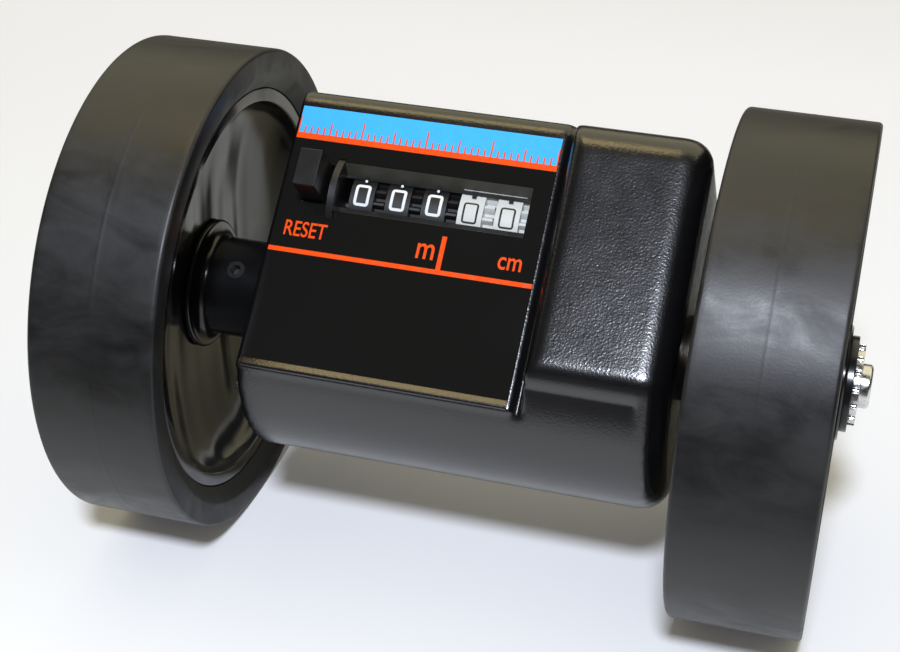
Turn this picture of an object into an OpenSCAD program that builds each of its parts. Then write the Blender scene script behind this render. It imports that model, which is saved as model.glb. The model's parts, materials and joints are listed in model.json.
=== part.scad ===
// Measuring wheel counter: two tyres on one axle drive a five-figure counter.
// X runs along the axle, Z is up and the origin lies on the floor below the axle.
// The label frame turns about the axle: its y runs up the sloping face, its z out of it.

/* [Wheels] */
// Outside diameter of the tyres
wheel_d = 106.1; // [98:0.1:120]
// Width of a tyre
wheel_w = 27; // [22:0.5:36]
// Distance between the inner faces of the tyres
track = 101.3; // [97:0.1:120]
// Width of the flat ring on a tyre's side
tyre_face_w = 5; // [3:0.5:7]
// Radial width of the chamfer inside that ring
tyre_chamfer_w = 3.5; // [2:0.25:5]
// Depth of that chamfer
tyre_chamfer_depth = 2; // [1:0.25:4]
// Rounding of a tyre's outer edges
tyre_edge_r = 0.8; // [0.4:0.1:2]
// Radial thickness of a disc's rim
disc_rim_t = 3.2; // [2:0.2:5]
// Depth of the dish on the inner side of a disc
dish_depth = 11; // [9:0.5:13]
// Thickness of a disc's web
disc_web_t = 4; // [3:0.25:5]
// Diameter of the flat middle of a disc
disc_flat_d = 29; // [28:0.5:34]
// Diameter of the hub on the outer side
hub_d = 24; // [20.5:0.5:25]
// Height of the hub over the outer face of the tyre
hub_proud = 0.6; // [0.2:0.1:2]

/* [Axle] */
// Diameter of the axle
axle_d = 10; // [8:0.5:11]
// Diameter of the collars on the axle
collar_d = 21.7; // [19:0.1:22]
// Diameter of a collar's flange
collar_flange_d = 28.6; // [27.5:0.1:30]
// Thickness of a collar's flange
collar_flange_t = 1.6; // [1.2:0.1:2]
// Fillet between a collar and its flange
collar_fillet_r = 2.4; // [1:0.1:2.5]
// Diameter of the set screws in the collars
collar_screw_d = 4; // [3:0.5:5]
// Place of a collar's set screw, as a share of the collar's straight length
collar_screw_share = 0.61; // [0.45:0.005:0.65]
// Angle of the set screws from straight up, towards the label
collar_screw_angle = 40.5; // [0:0.5:180]
// Diameter of the black washers at the axle ends
hub_washer_d = 19.8; // [17:0.2:22]
// Thickness of the black washers
hub_washer_t = 1.5; // [1:0.1:2.5]
// Diameter of the lock washers
lock_washer_d = 16.8; // [14:0.2:19]
// Thickness of the lock washers
lock_washer_t = 1.4; // [0.8:0.1:2]
// Notches round a lock washer
lock_washer_notches = 16; // [8:1:24]
// Head diameter of the axle bolts
bolt_head_d = 9.1; // [8:0.1:11]
// Head height of the axle bolts
bolt_head_h = 2.2; // [1.8:0.1:4]
// Thread diameter of the axle bolts
bolt_d = 5; // [4:0.5:6]
// Length of the axle bolts under the head
bolt_l = 16; // [12:1:20]

/* [Body] */
// Slope of the label face
label_tilt = 45; // [30:1:60]
// Diameter of the barrel round the axle
barrel_d = 65; // [62:0.5:70]
// Left end of the body, from the middle of the axle
body_left = 42; // [41:0.25:45]
// Right end of the body, from the middle of the axle
body_right = 46.5; // [45:0.25:48]
// Wall thickness of the casting
wall = 3; // [2:0.25:3.5]
// Rounding of the body's right end
end_round = 5.5; // [4:0.25:6]
// Height of the label pad's face over the axle
pad_n = 23.8; // [22.5:0.1:26]
// Height of the pad over the casting round it
pad_step = 1.6; // [1:0.1:2]
// Upper edge of the pad, up the slope
pad_top = 40; // [39:0.25:44]
// Lower edge of the pad, down the slope
pad_low = 23.3; // [22.5:0.1:25]
// Right edge of the pad
pad_right = 16.3; // [15.5:0.1:18]
// Rounding of the pad's upper edge
pad_round = 4; // [2:0.25:5]
// Rounding of the pad's lower edge
pad_low_round = 0.6; // [0.3:0.1:1]
// Height of the gear block's face over the axle
block_n = 31; // [28:0.25:32]
// Upper edge of the gear block
block_top = 38.4; // [36:0.1:40]
// Lower edge of the gear block
block_low = 18.4; // [16:0.1:20]
// Width of the groove between pad and gear block
groove_w = 1.7; // [1:0.1:3]
// Rounding of the gear block's upper edge
block_round = 7.5; // [5:0.25:8]
// Rounding of the gear block's lower edge
block_low_round = 5; // [4:0.25:6]
// Rounding of the gear block's left edge
block_side_round = 3; // [1:0.25:3.5]
// Thickness of the solid base under the hollow
base_web_t = 15.3; // [12:0.1:16]
// Lean of the solid base towards the front
base_web_lean = 12.3; // [0:0.1:30]
// Diameter of the end cover's screws
cover_screw_d = 3; // [2.5:0.5:3.5]

/* [Label plate] */
// Thickness of the label plate
plate_t = 0.5; // [0.3:0.1:0.8]
// Margin of the pad beside the plate
plate_side_margin = 1.05; // [0.5:0.05:1.5]
// Margin of the pad below the plate
plate_low_margin = 2.3; // [1:0.1:3]
// Margin of the pad above the plate
plate_top_margin = 5; // [4.5:0.1:6]
// Middle of the window, up the slope
window_u = 18.2; // [17:0.1:19]
// Height of the window
window_h = 10.8; // [9:0.1:12]

/* [Counter] */
// Depth of the number wheels' faces under the plate
number_sunk = 3.2; // [2.6:0.1:4]
// Diameter of the number wheels
number_d = 18.6; // [17:0.1:19.4]
// Width of a number wheel's rim
digit_w = 5.2; // [4.6:0.1:5.4]
// Width of the toothed ring beside the rim
ring_w = 2.2; // [1.6:0.1:2.4]
// Gap between neighbouring number wheels
number_gap = 0.43; // [0.3:0.01:0.6]
// Middle of the row of number wheels
digit_mid = -9.14; // [-10:0.02:-8]
// Diameter of the number shaft
number_shaft_d = 3; // [2.5:0.1:3.4]
// Thickness of the bracket's end plates
frame_t = 1.4; // [1.2:0.1:1.6]
// Thickness of the bracket's front flange
flange_t = 2.3; // [1.8:0.1:2.6]
// Height of the rib between key and window over the plate
rib_proud = 2.4; // [1.5:0.1:3]
// Length of the rib up the slope
rib_l = 13; // [12:0.1:14]

/* [Gears] */
// Module of the driving train
train_module = 0.6; // [0.5:0.01:0.62]
// Teeth of the gear on the axle
drive_teeth = 50; // [44:1:52]
// Teeth of the idler
idler_teeth = 24; // [20:1:28]
// Teeth of the pinion on the centimetre wheel's sleeve
counter_teeth = 15; // [13:1:17]
// Left face of the gears
gear_x = 28.5; // [25:0.25:29]
// Width of the gears
gear_w = 5; // [3:0.25:5.5]
// Depth of the toothed rings' tips under the rims
ring_drop = 0.7; // [0.4:0.05:1.2]
// Teeth of a toothed ring
ring_teeth = 20; // [18:1:22]
// Teeth of a carry pinion
carry_teeth = 8; // [8:1:10]
// Diameter of the carry pinions' shaft
carry_shaft_d = 2; // [1.6:0.1:2.2]
// Play between teeth in mesh
tooth_play = 0.16; // [0.12:0.02:0.24]

/* [Reset] */
// Width of the reset key
key_w = 4.8; // [4:0.1:5.8]
// Length of the reset key up the slope
key_l = 8; // [7:0.1:9]
// Height of the reset key over the plate
key_h = 9; // [7:0.25:11]
// Travel of the reset key
key_travel = 3; // [2:0.1:3.2]
// Diameter of the reset bar's rod
reset_rod_d = 2.4; // [2:0.1:2.6]
// Turns of the key spring
spring_turns = 7; // [5:1:9]
// Wire diameter of the key spring
spring_wire_d = 0.6; // [0.4:0.05:0.7]

/* [Mount] */
// Distance between the two tapped holes in the base
mount_spacing = 40; // [30:1:50]
// Tapping diameter of the holes in the base
mount_hole_d = 4.2; // [3.3:0.1:5]
// Depth of the holes in the base
mount_hole_depth = 9; // [6:0.5:10]
// Depth of the flat that the base is seated on
mount_flat_depth = 1; // [0.5:0.1:2]

/* [Hidden] */
$fn = 96;

// Clearances
seat = 0.05;
gap = 0.3;
slip = 0.06;
over = 0.2;

// Wheels
axle_z = wheel_d / 2;
tyre_r = wheel_d / 2;
face_in_r = tyre_r - tyre_face_w;
rim_r = face_in_r - tyre_chamfer_w;
dish_r = rim_r - disc_rim_t;
dish_power = 0.6;
hub_r = hub_d / 2;
disc_flat_r = disc_flat_d / 2;
hub_out = wheel_w + hub_proud;
axle_r = axle_d / 2;
axle_end = track / 2 + hub_out - gap;
bolt_r = bolt_d / 2;
washer_face = hub_out + hub_washer_t;
bolt_seat = washer_face + lock_washer_t;
collar_r = collar_d / 2;
collar_flange_r = collar_flange_d / 2;
collar_straight = dish_depth - collar_flange_t - collar_fillet_r;

// Bearings
bush_wall = 2;
bush_r = axle_r + bush_wall;
bush_flange_w = 2;
bush_flange_r = bush_r + bush_flange_w;
bush_flange_t = 1;
bush_l = 7;
bush_boss_r = bush_r + wall;

// Body
barrel_r = barrel_d / 2;
base_n = pad_n - pad_step;
base_low = sqrt(barrel_r * barrel_r - base_n * base_n);
inner_right = body_right - wall;
cover_t = wall;
cover_in = body_left - cover_t;
pocket_n = pad_n - wall;
web_in = barrel_r - base_web_t;
block_left = pad_right + groove_w;
mount_flat = barrel_r - mount_flat_depth;
cover_boss_wall = 2;
cover_boss_r = cover_screw_d / 2 + cover_boss_wall;
cover_boss_merge = 1;
cover_boss_at = barrel_r - wall - cover_boss_r + cover_boss_merge;
cover_boss_angles = [150, 220, 290];
cover_boss_l = 10;
cover_bore_wall = 1;
cover_screw_short = 1;
cover_bore_end = cover_boss_l - cover_in - cover_bore_wall;
cover_slot_w = 0.8;
cover_head_r = cover_screw_d * 0.9;
cover_head_h = cover_screw_d * 0.55;
label_n = pad_n + plate_t;
plate_left = body_left - plate_side_margin;
plate_right = pad_right - plate_side_margin;
plate_low = pad_low - plate_low_margin;
plate_top = pad_top - plate_top_margin;
window_low = window_u - window_h / 2;
window_top = window_u + window_h / 2;

// Counter
number_r = number_d / 2;
number_u = window_u;
number_n = label_n - number_sunk - number_r;
number_shaft_r = number_shaft_d / 2;
digits = 5;
digit_pitch = digit_w + ring_w + number_gap;
function digit_x(i) = digit_mid + (i - (digits - 1) / 2) * digit_pitch;
wheels_left = digit_x(0) - digit_w / 2;
wheels_right = digit_x(digits - 1) + digit_w / 2 + ring_w;
frame_left_play = 1.6;
frame_right_play = 0.7;
frame_left = wheels_left - frame_left_play;
frame_right = wheels_right + frame_right_play;
window_left = frame_left;
window_right = wheels_right;
flange_n = pocket_n - flange_t;
flange_margin = 4.8;
bezel_shelf = 0.5;
bezel_foot = number_u + sqrt(pow(number_r + gap, 2) - pow(pocket_n - number_n, 2)) + bezel_shelf;
index_w = 0.9;
index_t = 0.5;
index_reach = 0.8;
index_shift = 0.2;
rib_side = 0.3;
rib_half = rib_l / 2 + rib_side;
rib_drop = 0.8;
rib_u = window_u - rib_drop;
rib_r = (pow(rib_l / 2, 2) + pow(rib_proud, 2)) / (2 * rib_proud);
rib_n = label_n + rib_proud - rib_r;
frame_low = window_low - flange_margin;
frame_back_gap = 3;
frame_back = number_n - number_r - frame_back_gap;
sleeve_wall = 0.9;
sleeve_short = 1.5;
sleeve_r = number_shaft_r + sleeve_wall;
sleeve_end = gear_x - sleeve_short;
pinion_hub_wall = 1.2;
pinion_hub_l = 3;
pinion_hub_r = sleeve_r + pinion_hub_wall;
pinion_hub_x = sleeve_end - pinion_hub_l;
number_rim_t = 1.6;
shaft_proud = 0.6;
shaft_boss_wall = 2.5;
shaft_bore_wall = 1;
shaft_bore_end = inner_right - shaft_bore_wall;
carry_open = 0.08;
carry_addendum = 0.75;
carry_dedendum = 1.1;
carry_module = (number_r - ring_drop) / (ring_teeth / 2 + carry_addendum);
carry_at = carry_module * (ring_teeth + carry_teeth) / 2 + carry_open;
carry_angle = -45;
carry_u = number_u + carry_at * cos(carry_angle);
carry_n = number_n + carry_at * sin(carry_angle);
carry_hub_r = carry_at - number_r - gap;
ring_pressure = 28;
frame_screw_r = 1.25;
frame_screw_sunk = 0.2;
frame_screw_edge = 2.7;
frame_screw_rows = [window_low - frame_screw_edge, window_top + frame_screw_edge];
frame_screw_places = [for (x = [digit_x(1), digit_x(3)], u = frame_screw_rows) [x, u]];

// Driving train: the idler meshes with both gears on the far side of their centre line
train_pressure = 25;
drive_r = train_module * drive_teeth / 2;
idler_r = train_module * idler_teeth / 2;
counter_r = train_module * counter_teeth / 2;
mesh_open = 0.05;
reach_drive = drive_r + idler_r + mesh_open;
reach_counter = idler_r + counter_r + mesh_open;
number_at = norm([number_u, number_n]);
number_angle = atan2(number_n, number_u);
idler_bend = acos((reach_drive * reach_drive + number_at * number_at - reach_counter * reach_counter)
    / (2 * reach_drive * number_at));
idler_angle = number_angle - idler_bend;
idler_u = reach_drive * cos(idler_angle);
idler_n = reach_drive * sin(idler_angle);
counter_angle = atan2(number_n - idler_n, number_u - idler_u);
function mesh_turn(angle, turn, teeth, mate) = angle + 180 + 180 / mate - (turn - angle) * teeth / mate;
drive_turn = idler_angle;
idler_turn = mesh_turn(idler_angle, drive_turn, drive_teeth, idler_teeth);
counter_turn = mesh_turn(counter_angle, idler_turn, idler_teeth, counter_teeth);
ring_turn = carry_angle;
carry_turn = mesh_turn(carry_angle, ring_turn, ring_teeth, carry_teeth);
idler_pin_r = 1.5;
idler_side = 0.5;
idler_boss_r = idler_pin_r + shaft_boss_wall;
pin_neck = 0.4;
pin_tip = 1;
clip_t = 0.6;
clip_play = 0.2;
clip_wall = 1.4;
clip_mouth = 1.8;
clip_x = gear_x + idler_side - clip_play - clip_t;
gear_hub_wall = 3.5;
gear_hub_r = axle_r + gear_hub_wall;
gear_hub_play = 1;
gear_hub_l = body_right - bush_l - gear_hub_play - gear_x - gear_w;
gear_screw_r = 1.5;
gear_screw_x = gear_x + gear_w + gear_hub_l / 2;
screw_sunk = 0.3;

// Reset
key_u = window_u;
key_flange_n = pocket_n - gap;
key_flange_t = 1.5;
key_flange_w = 0.6;
key_under = key_flange_n - key_flange_t;
key_clear = 0.3;
key_x = frame_left - frame_t - key_clear - key_flange_w - key_w / 2;
reset_rod_r = reset_rod_d / 2;
reset_tube_wall = 1;
reset_tube_r = reset_rod_r + reset_tube_wall;
finger_l = 1.2;
finger_w = 2;
finger_t = 1.2;
finger_clear = 0.6;
reset_u = number_u + number_r + reset_tube_r + finger_l + finger_clear;
reset_rise = 1.2;
reset_n = number_n + reset_rise;
frame_top_wall = 1.3;
frame_top = reset_u + reset_tube_r + frame_top_wall;
lever_r = 1.2;
nose_r = 1.2;
nose_back = 0.5;
nose_u = key_u + key_l / 2 - nose_r - nose_back;
nose_n = reset_n + lever_r + gap + nose_r;
lever_tip = 1;
lever_l = reset_u - nose_u + lever_tip;
lever_w = key_w - 2 * key_flange_w;
spring_edge = 2.4;
spring_u = key_u - key_l / 2 + spring_edge;
spring_r = 1.6;
spring_seat = key_under - 3 * key_travel;
spring_tab_t = 1.5;
spring_tab_l = 2 * (spring_r + spring_wire_d);
spring_post_r = spring_r - spring_wire_d / 2 - gap;

// Shapes used by several pieces

// The frame of the sloping label face, with the axle as its x axis
module label_frame() {
    translate([0, 0, axle_z])
        rotate([label_tilt, 0, 0])
            children();
}

// A round bar along x
module bar_x(x0, x1, r) {
    translate([x0, 0, 0])
        rotate([0, 90, 0])
            cylinder(h = x1 - x0, r = r);
}

// A turned piece about x from a profile of [radius, x] points
module turned_x(points) {
    rotate([0, 90, 0])
        rotate_extrude()
            polygon(points);
}

// A profile in the label frame's y and z, drawn out along x
module drawn_x(x0, x1) {
    translate([x0, 0, 0])
        rotate([90, 0, 90])
            linear_extrude(height = x1 - x0)
                children();
}

// A box in the label frame between two corners
module box(low, high) {
    translate(low)
        cube(high - low);
}

function polar(r, angle) = r * [cos(angle), sin(angle)];

function arc(centre, r, from, to, steps = 8) =
    [for (i = [0 : steps]) centre + polar(r, from + (to - from) * i / steps)];

// Wheel pieces are drawn for the right end and mirrored for the left one
module wheel_end(side) {
    translate([0, 0, axle_z])
        mirror([side < 0 ? 1 : 0, 0, 0])
            translate([track / 2, 0, 0])
                children();
}

// A headless screw with a hex socket in its top, drawn up from its tip
module set_screw(r, l) {
    socket_depth = 0.4 * l;
    socket_r = 0.6 * r;
    difference() {
        cylinder(h = l, r = r);
        translate([0, 0, l - socket_depth])
            cylinder(h = l, r = socket_r, $fn = 6);
    }
}

// An involute tooth's half angle at radius r
function roll(angle) = tan(angle) * 180 / PI - angle;
function half_tooth(r, teeth, pitch_r, pressure) =
    90 / teeth - tooth_play / 4 / pitch_r * 180 / PI
    + roll(pressure) - roll(acos(min(1, pitch_r * cos(pressure) / r)));

// A spur gear's outline with a tooth at the given turn
module gear_outline(teeth, module_mm, pressure, turn, addendum = 1, dedendum = 1.2) {
    pitch_r = module_mm * teeth / 2;
    root_r = pitch_r - dedendum * module_mm;
    tip_r = pitch_r + addendum * module_mm;
    rise = [for (k = [0 : 4]) root_r + (tip_r - root_r) * k / 4];
    fall = [for (k = [4 : -1 : 0]) root_r + (tip_r - root_r) * k / 4];
    polygon([for (t = [0 : teeth - 1])
        each concat(
            [for (r = rise) polar(r, turn + t * 360 / teeth - half_tooth(r, teeth, pitch_r, pressure))],
            [for (r = fall) polar(r, turn + t * 360 / teeth + half_tooth(r, teeth, pitch_r, pressure))])]);
}

// Wheels

module tyre(side) {
    color("#1b1b1c")
        wheel_end(side)
            turned_x(concat(
                [[rim_r + seat, tyre_chamfer_depth], [face_in_r, 0]],
                arc([tyre_r - tyre_edge_r, tyre_edge_r], tyre_edge_r, -90, 0, 4),
                arc([tyre_r - tyre_edge_r, wheel_w - tyre_edge_r], tyre_edge_r, 0, 90, 4),
                [[face_in_r, wheel_w], [rim_r + seat, wheel_w - tyre_chamfer_depth]]));
}

module left_tyre() { tyre(-1); }
module right_tyre() { tyre(1); }

// A dish falls steeply from the rim and levels out towards the hub, along a squared quarter ellipse
function dish(from_s, to_s, flip) =
    [for (i = [0 : 10]) let (a = flip ? 90 - i * 9 : i * 9)
        [disc_flat_r + (dish_r - disc_flat_r) * pow(cos(a), dish_power),
            from_s + (to_s - from_s) * pow(sin(a), dish_power)]];

module wheel_disc(side) {
    web_out = dish_depth + disc_web_t;
    rim_in = tyre_chamfer_depth;
    rim_out = wheel_w - tyre_chamfer_depth;
    color("#141416")
        wheel_end(side)
            turned_x(concat(
                [[axle_r + seat, dish_depth]],
                dish(rim_in, dish_depth, true),
                [[rim_r, rim_in], [rim_r, rim_out]],
                dish(rim_out, web_out, false),
                [[hub_r, web_out], [hub_r, hub_out], [axle_r + seat, hub_out]]));
}

module left_wheel_disc() { wheel_disc(-1); }
module right_wheel_disc() { wheel_disc(1); }

// Axle ends

module hub_washer(side) {
    color("#202022")
        wheel_end(side)
            difference() {
                bar_x(hub_out, washer_face, hub_washer_d / 2);
                bar_x(hub_out - over, washer_face + over, bolt_r + 2 * seat);
            }
}

module left_hub_washer() { hub_washer(-1); }
module right_hub_washer() { hub_washer(1); }

module lock_washer(side) {
    notch_r = lock_washer_d * PI / lock_washer_notches / 5;
    color("#c9ccd0")
        wheel_end(side)
            difference() {
                bar_x(washer_face, bolt_seat, lock_washer_d / 2);
                bar_x(washer_face - over, bolt_seat + over, bolt_r + 2 * seat);
                for (i = [0 : lock_washer_notches - 1])
                    rotate([i * 360 / lock_washer_notches, 0, 0])
                        translate([0, 0, lock_washer_d / 2])
                            bar_x(washer_face - over, bolt_seat + over, notch_r);
            }
}

module left_lock_washer() { lock_washer(-1); }
module right_lock_washer() { lock_washer(1); }

module axle_bolt(side) {
    head_edge = 0.5;
    socket_r = bolt_d * 0.46;
    bolt_end = bolt_seat + bolt_head_h;
    color("#d2d4d6")
        wheel_end(side)
            difference() {
                turned_x([[0, bolt_seat - bolt_l], [bolt_r, bolt_seat - bolt_l], [bolt_r, bolt_seat],
                    [bolt_head_d / 2, bolt_seat], [bolt_head_d / 2, bolt_end - head_edge],
                    [bolt_head_d / 2 - head_edge, bolt_end], [0, bolt_end]]);
                translate([bolt_end - bolt_head_h * 0.6, 0, 0])
                    rotate([0, 90, 0])
                        cylinder(h = bolt_head_h, r = socket_r, $fn = 6);
            }
}

module left_axle_bolt() { axle_bolt(-1); }
module right_axle_bolt() { axle_bolt(1); }

module axle() {
    bolt_tip = bolt_l - hub_washer_t - lock_washer_t - gap + 1;
    color("#8f9296")
        translate([0, 0, axle_z])
            difference() {
                bar_x(-axle_end, axle_end, axle_r);
                for (side = [-1, 1])
                    mirror([side < 0 ? 1 : 0, 0, 0])
                        bar_x(axle_end - bolt_tip, axle_end + over, bolt_r + seat);
            }
}

// A flanged collar bears on the flat middle of each disc and clamps it against its hub washer
function collar_start(side) = (side < 0 ? body_left : body_right) + bush_flange_t + gap - track / 2;

module collar_screw_axis(side) {
    start = collar_start(side);
    translate([start + (collar_straight - start) * collar_screw_share, 0, 0])
        rotate([collar_screw_angle, 0, 0])
            children();
}

module collar(side) {
    rim = collar_flange_t / 2;
    color("#161618")
        wheel_end(side)
            difference() {
                turned_x(concat(
                    [[axle_r + seat, collar_start(side)], [collar_r, collar_start(side)]],
                    arc([collar_r + collar_fillet_r, collar_straight], collar_fillet_r, 180, 90, 8),
                    arc([collar_flange_r - rim, dish_depth - rim], rim, -90, 90, 8),
                    [[axle_r + seat, dish_depth]]));
                collar_screw_axis(side)
                    cylinder(h = collar_d, r = collar_screw_d / 2 + seat);
            }
}

module left_collar() { collar(-1); }
module right_collar() { collar(1); }

module collar_screw(side) {
    color("#3a3b3d")
        wheel_end(side)
            collar_screw_axis(side)
                translate([0, 0, axle_r + seat])
                    set_screw(collar_screw_d / 2, collar_r - axle_r - screw_sunk);
}

module left_collar_screw() { collar_screw(-1); }
module right_collar_screw() { collar_screw(1); }

// Body

// Outline of the body across the axle: barrel, face, top wall and the back that runs off the barrel
module body_outline(face, top, low, round, low_round, inset = 0) {
    r = barrel_r - inset;
    f = face - inset;
    t = top - inset;
    l = low - inset;
    k = max(round - inset, 0.5);
    j = max(low_round - inset, 0.2);
    lean = acos(r / t);
    difference() {
        union() {
            circle(r = r);
            polygon(concat(
                [[-l, 0]],
                arc([j - l, f - j], j, 180, 90),
                arc([t - k, f - k], k, 90, 0),
                [[t, 0], (r - over) * [cos(lean), -sin(lean)], [0, 0]]));
        }
        translate([-2 * r, f])
            square([4 * r, r]);
    }
}

module base_outline(inset = 0) {
    body_outline(base_n, pad_top, base_low, pad_round, pad_low_round, inset);
}

module block_outline(inset = 0) {
    body_outline(block_n, block_top, block_low, block_round, block_low_round, inset);
}

// The right end is rounded by slices that draw in along a quarter circle, with a root inside the block
module rounded_end() {
    slice = 0.01;
    root = 1;
    round_start = body_right - end_round;
    hull() {
        drawn_x(round_start - root - slice, round_start - root)
            block_outline(root, $fn = 48);
            for (a = [0 : 22.5 : 90])
            drawn_x(round_start + end_round * sin(a) - slice, round_start + end_round * sin(a))
                block_outline(end_round * (1 - cos(a)), $fn = 48);
    }
}

module gear_block() {
    k = block_side_round;
    intersection() {
        drawn_x(block_left, body_right - end_round)
            block_outline();
        union() {
            box([block_left - over, -barrel_d, -barrel_d], [body_right, barrel_d, base_n]);
            translate([0, barrel_d, 0])
                rotate([90, 0, 0])
                    linear_extrude(height = 2 * barrel_d)
                        polygon(concat(
                            [[body_right, base_n], [body_right, block_n]],
                            arc([block_left + k, block_n - k], k, 90, 180),
                            [[block_left, base_n]]));
        }
    }
}

module housing_outside() {
    drawn_x(-body_left, block_left + block_side_round)
        base_outline();
    drawn_x(-body_left, pad_right)
        body_outline(pad_n, pad_top, pad_low, pad_round, pad_low_round);
    gear_block();
    rounded_end();
}

// The hollow under the pad and the one in the gear block join through a passage with the room of both
module housing_hollow() {
    pocket_right = pad_right - wall / 2;
    drawn_x(-body_left - over, block_left)
        base_outline(wall);
    box([-cover_in, frame_low - 2 * gap, 0], [pocket_right, pad_top - wall, pocket_n]);
    drawn_x(block_left - over, block_left + wall + over)
        intersection() {
            base_outline(wall);
            block_outline(wall);
        }
    drawn_x(block_left + wall, inner_right)
        block_outline(wall);
}

// Places for the cover screws, close to the barrel wall
module at_cover_bosses() {
    for (a = cover_boss_angles)
        translate([0, cover_boss_at * cos(a), cover_boss_at * sin(a)])
            children();
}

module at_point(u, n) {
    translate([0, u, n])
        children();
}

module housing_bosses() {
    at_cover_bosses()
        bar_x(-cover_in, cover_boss_l - cover_in, cover_boss_r);
    bar_x(body_right - bush_l, inner_right + over, bush_boss_r);
    at_point(idler_u, idler_n)
        bar_x(gear_x + gear_w, inner_right + over, idler_boss_r);
    at_point(number_u, number_n)
        bar_x(gear_x + gear_w + gap, inner_right + over, number_shaft_r + shaft_boss_wall);
    intersection() {
        bar_x(-cover_in, inner_right + over, barrel_r - wall / 2);
        rotate([-label_tilt - base_web_lean, 0, 0])
            box([-body_left, -barrel_r, -barrel_r], [body_right, barrel_r, -web_in]);
    }
}

module at_mount_holes() {
    for (side = [-1, 1])
        translate([side * mount_spacing / 2, 0, axle_z - mount_flat])
            children();
}

module housing() {
    color("#18181a")
        difference() {
            label_frame()
                difference() {
                    union() {
                        difference() {
                            housing_outside();
                            housing_hollow();
                        }
                        housing_bosses();
                    }
                    box([window_left, window_low, pocket_n - over],
                        [window_right, window_top, pad_n + over]);
                    rib_slot(pocket_n - over, pad_n + over);
                    key_way(pocket_n - over, pad_n + over);
                    bar_x(body_right - bush_l - over, body_right + over, bush_r + seat);
                    at_point(idler_u, idler_n)
                        bar_x(gear_x, inner_right, idler_pin_r + seat);
                    at_point(number_u, number_n)
                        bar_x(gear_x, shaft_bore_end, number_shaft_r + seat);
                    at_cover_bosses()
                        bar_x(-cover_in - over, cover_bore_end, cover_screw_d / 2 + seat);
                    for (p = frame_screw_places)
                        translate([p[0], p[1], pocket_n - over])
                            screw_way(wall + over);
                }
            translate([-body_left - over, -barrel_r, -barrel_r])
                cube([body_left + body_right + 2 * over, barrel_d, axle_z - mount_flat + barrel_r]);
            at_mount_holes()
                translate([0, 0, -over])
                    cylinder(h = mount_hole_depth + over, d = mount_hole_d);
        }
}

// A countersunk screw hole through a wall, with its head sunk below the face at height h
module screw_way(h) {
    cylinder(h = h, r = frame_screw_r + seat);
    translate([0, 0, h - frame_screw_sunk - frame_screw_r])
        cylinder(h = frame_screw_r, r1 = frame_screw_r + seat, r2 = 2 * frame_screw_r + seat);
    translate([0, 0, h - frame_screw_sunk])
        cylinder(h = 2 * frame_screw_sunk, r = 2 * frame_screw_r + seat);
}

// The slot that the reset key slides in
module key_way(n0, n1) {
    box([key_x - key_w / 2 - gap, key_u - key_l / 2 - gap, n0],
        [key_x + key_w / 2 + gap, key_u + key_l / 2 + gap, n1]);
}

module left_end_cover() {
    color("#1c1c1e")
        label_frame()
            difference() {
                union() {
                    drawn_x(-body_left, -cover_in)
                        base_outline(wall + seat);
                    bar_x(-body_left, cover_t - cover_in, bush_boss_r);
                }
                bar_x(-body_left - over, body_left, bush_r + seat);
                at_cover_bosses()
                    bar_x(-body_left - over, over - cover_in, cover_screw_d / 2 + 2 * seat);
            }
}

module end_cover_screws() {
    color("#b4b7ba")
        label_frame()
            at_cover_bosses()
                difference() {
                    union() {
                        bar_x(-body_left - cover_head_h, -body_left, cover_head_r);
                        bar_x(-body_left, cover_bore_end - cover_screw_short, cover_screw_d / 2);
                    }
                    box([-body_left - cover_head_h - over, -cover_head_r, -cover_slot_w / 2],
                        [-body_left - cover_head_h / 2, cover_head_r, cover_slot_w / 2]);
                }
}

module bush(side) {
    end = side < 0 ? body_left : body_right;
    color("#a8823c")
        translate([0, 0, axle_z])
            mirror([side < 0 ? 1 : 0, 0, 0])
                turned_x([[axle_r + slip, end - bush_l], [bush_r, end - bush_l], [bush_r, end],
                    [bush_flange_r, end], [bush_flange_r, end + bush_flange_t],
                    [axle_r + slip, end + bush_flange_t]]);
}

module left_bush() { bush(-1); }
module right_bush() { bush(1); }

module face_plate() {
    color("#101012")
        label_frame()
            difference() {
                box([-plate_left, -plate_low, pad_n], [plate_right, plate_top, label_n]);
                box([window_left, window_low, pad_n - over], [window_right, window_top, label_n + over]);
                rib_slot(pad_n - over, label_n + over);
                key_way(pad_n - over, label_n + over);
            }
}

// Counter

// Round-topped rib between the key and the window
module counter_rib() {
    intersection() {
        at_point(rib_u, rib_n)
            bar_x(frame_left - frame_t, frame_left, rib_r);
        box([frame_left - frame_t, rib_u - rib_half, pocket_n - over],
            [frame_left, rib_u + rib_half, label_n + rib_proud]);
    }
}

// Slot for the rib through the casting and the plate
module rib_slot(low, high) {
    box([frame_left - frame_t - seat, rib_u - rib_half - seat, low],
        [frame_left + seat, rib_u + rib_half + seat, high]);
}

// Sloping upper wall of the window, with an index tab over each number wheel
module counter_bezel() {
    foot_low = pocket_n - over;
    drawn_x(frame_left - over, window_right - seat)
        polygon([[window_top - seat, label_n], [window_top - seat, foot_low], [bezel_foot, foot_low],
            [bezel_foot, pocket_n]]);
    for (i = [0 : digits - 1])
        box([digit_x(i) + index_shift - index_w / 2, bezel_foot - bezel_shelf - index_reach, foot_low],
            [digit_x(i) + index_shift + index_w / 2, bezel_foot, pocket_n + index_t]);
}

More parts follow.
